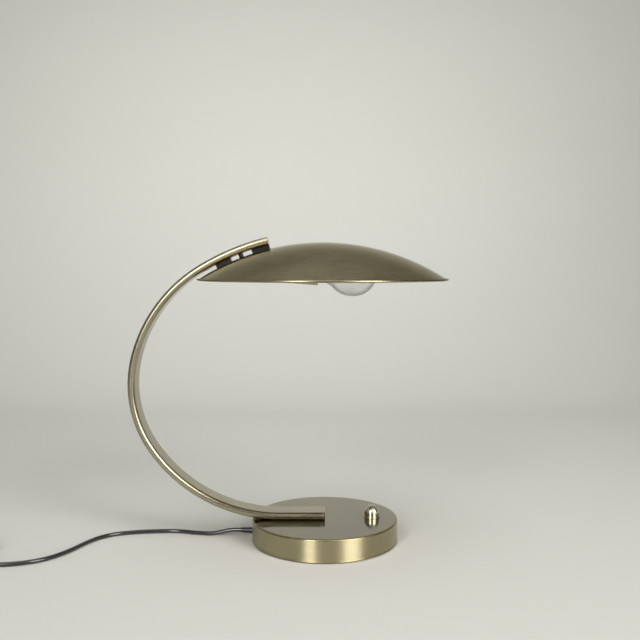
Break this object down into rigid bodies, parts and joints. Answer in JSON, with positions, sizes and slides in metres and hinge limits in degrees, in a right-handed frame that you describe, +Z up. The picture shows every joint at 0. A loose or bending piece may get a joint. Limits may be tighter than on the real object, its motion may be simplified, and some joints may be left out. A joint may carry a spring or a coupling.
{
  "type": "table lamp",
  "caption": "Table lamp: round weighted base with a push switch, flat oval arm bent in a wide arc, shallow dome shade on a short arc slide under the arm's end, screw-base globe bulb.",
  "frame": {"origin": "centre of the round base's underside, on the table", "axes": "+Z up, +X from the arm's bow towards the switch, +Y away from the front view; the arm and holder lie in the XZ plane"},
  "size_m": [0.6737, 0.323, 0.3962],
  "materials": {
    "satin_metal": "satin lacquered, finely brushed",
    "shade_metal": "satin lacquered, spun",
    "polished_metal": "polished",
    "cast_iron": "as cast",
    "zinc_plate": "dark coated sheet",
    "felt": "black felt",
    "zinc_steel": "zinc plated",
    "dark_metal": "dark satin",
    "brass": "bare brass",
    "porcelain": "unglazed porcelain",
    "clear_glass": "clear",
    "bulb_cap_metal": "bright",
    "black_glass": "glossy",
    "filament_wire": "drawn wire",
    "moulded_plastic": "moulded",
    "lead_sleeve": "insulated wire",
    "cord_black": "smooth flexible PVC"
  },
  "bodies": {
    "stand": {"base_shell": "satin_metal", "ballast_weight": "cast_iron", "base_plate": "zinc_plate", "base_plate_screws": "zinc_steel", "felt_pad": "felt", "arm_tube": "satin_metal", "arm_foot_cap": "satin_metal", "arm_foot_insert": "zinc_steel", "arm_tip_cap": "satin_metal", "slide_end_stop": "dark_metal", "end_stop_screw": "zinc_steel", "arm_screws": "zinc_steel", "arm_screw_washers": "zinc_steel", "cable_grommet": "cord_black", "switch_collar": "polished_metal", "switch_nut": "zinc_steel", "switch_body": "moulded_plastic", "switch_tabs": "brass", "switch_spring": "zinc_steel", "terminal_block": "moulded_plastic", "terminal_block_screw": "zinc_steel", "cord_clamp": "moulded_plastic", "cord_clamp_screws": "zinc_steel", "base_leads": "lead_sleeve", "arm_leads": "lead_sleeve", "strain_relief": "cord_black", "power_cord": "cord_black", "cord_coil": "cord_black", "plug_body": "cord_black", "plug_pins": "brass"},
    "shade": {"slide_nut": "zinc_steel", "slide_block": "dark_metal", "slide_spacer": "dark_metal", "cable_nipple": "brass", "nipple_nut": "zinc_steel", "spacer_screw": "zinc_steel", "shade_dome": "shade_metal", "holder_bracket": "dark_metal", "holder_nipple": "brass", "holder_locknut": "zinc_steel", "holder_cap": "satin_metal", "holder_skirt": "satin_metal", "holder_insulator": "porcelain", "holder_thread_sleeve": "brass", "holder_contact": "brass", "shade_leads": "lead_sleeve", "bulb_glass": "clear_glass", "bulb_cap": "bulb_cap_metal", "bulb_cap_insulator": "black_glass", "bulb_contact": "brass", "bulb_stem": "clear_glass", "bulb_support_wires": "filament_wire", "bulb_filament": "filament_wire"},
    "switch_button": {"switch_knob": "polished_metal", "switch_plunger": "brass"}
  },
  "joints": [
    {"name": "shade_slide", "type": "hinge", "parent": "stand", "child": "shade", "pos_m": [-0.00271, 0, 0.09813], "axis": [0, 1, 0], "range_deg": [-3.4, 2.2]},
    {"name": "switch_press", "type": "slide", "parent": "stand", "child": "switch_button", "axis": [0, 0, -1], "range_m": [0, 0.003], "stiffness_N_per_m": 600, "springref_m": -0.002, "deforming": ["switch_spring"]}
  ]
}
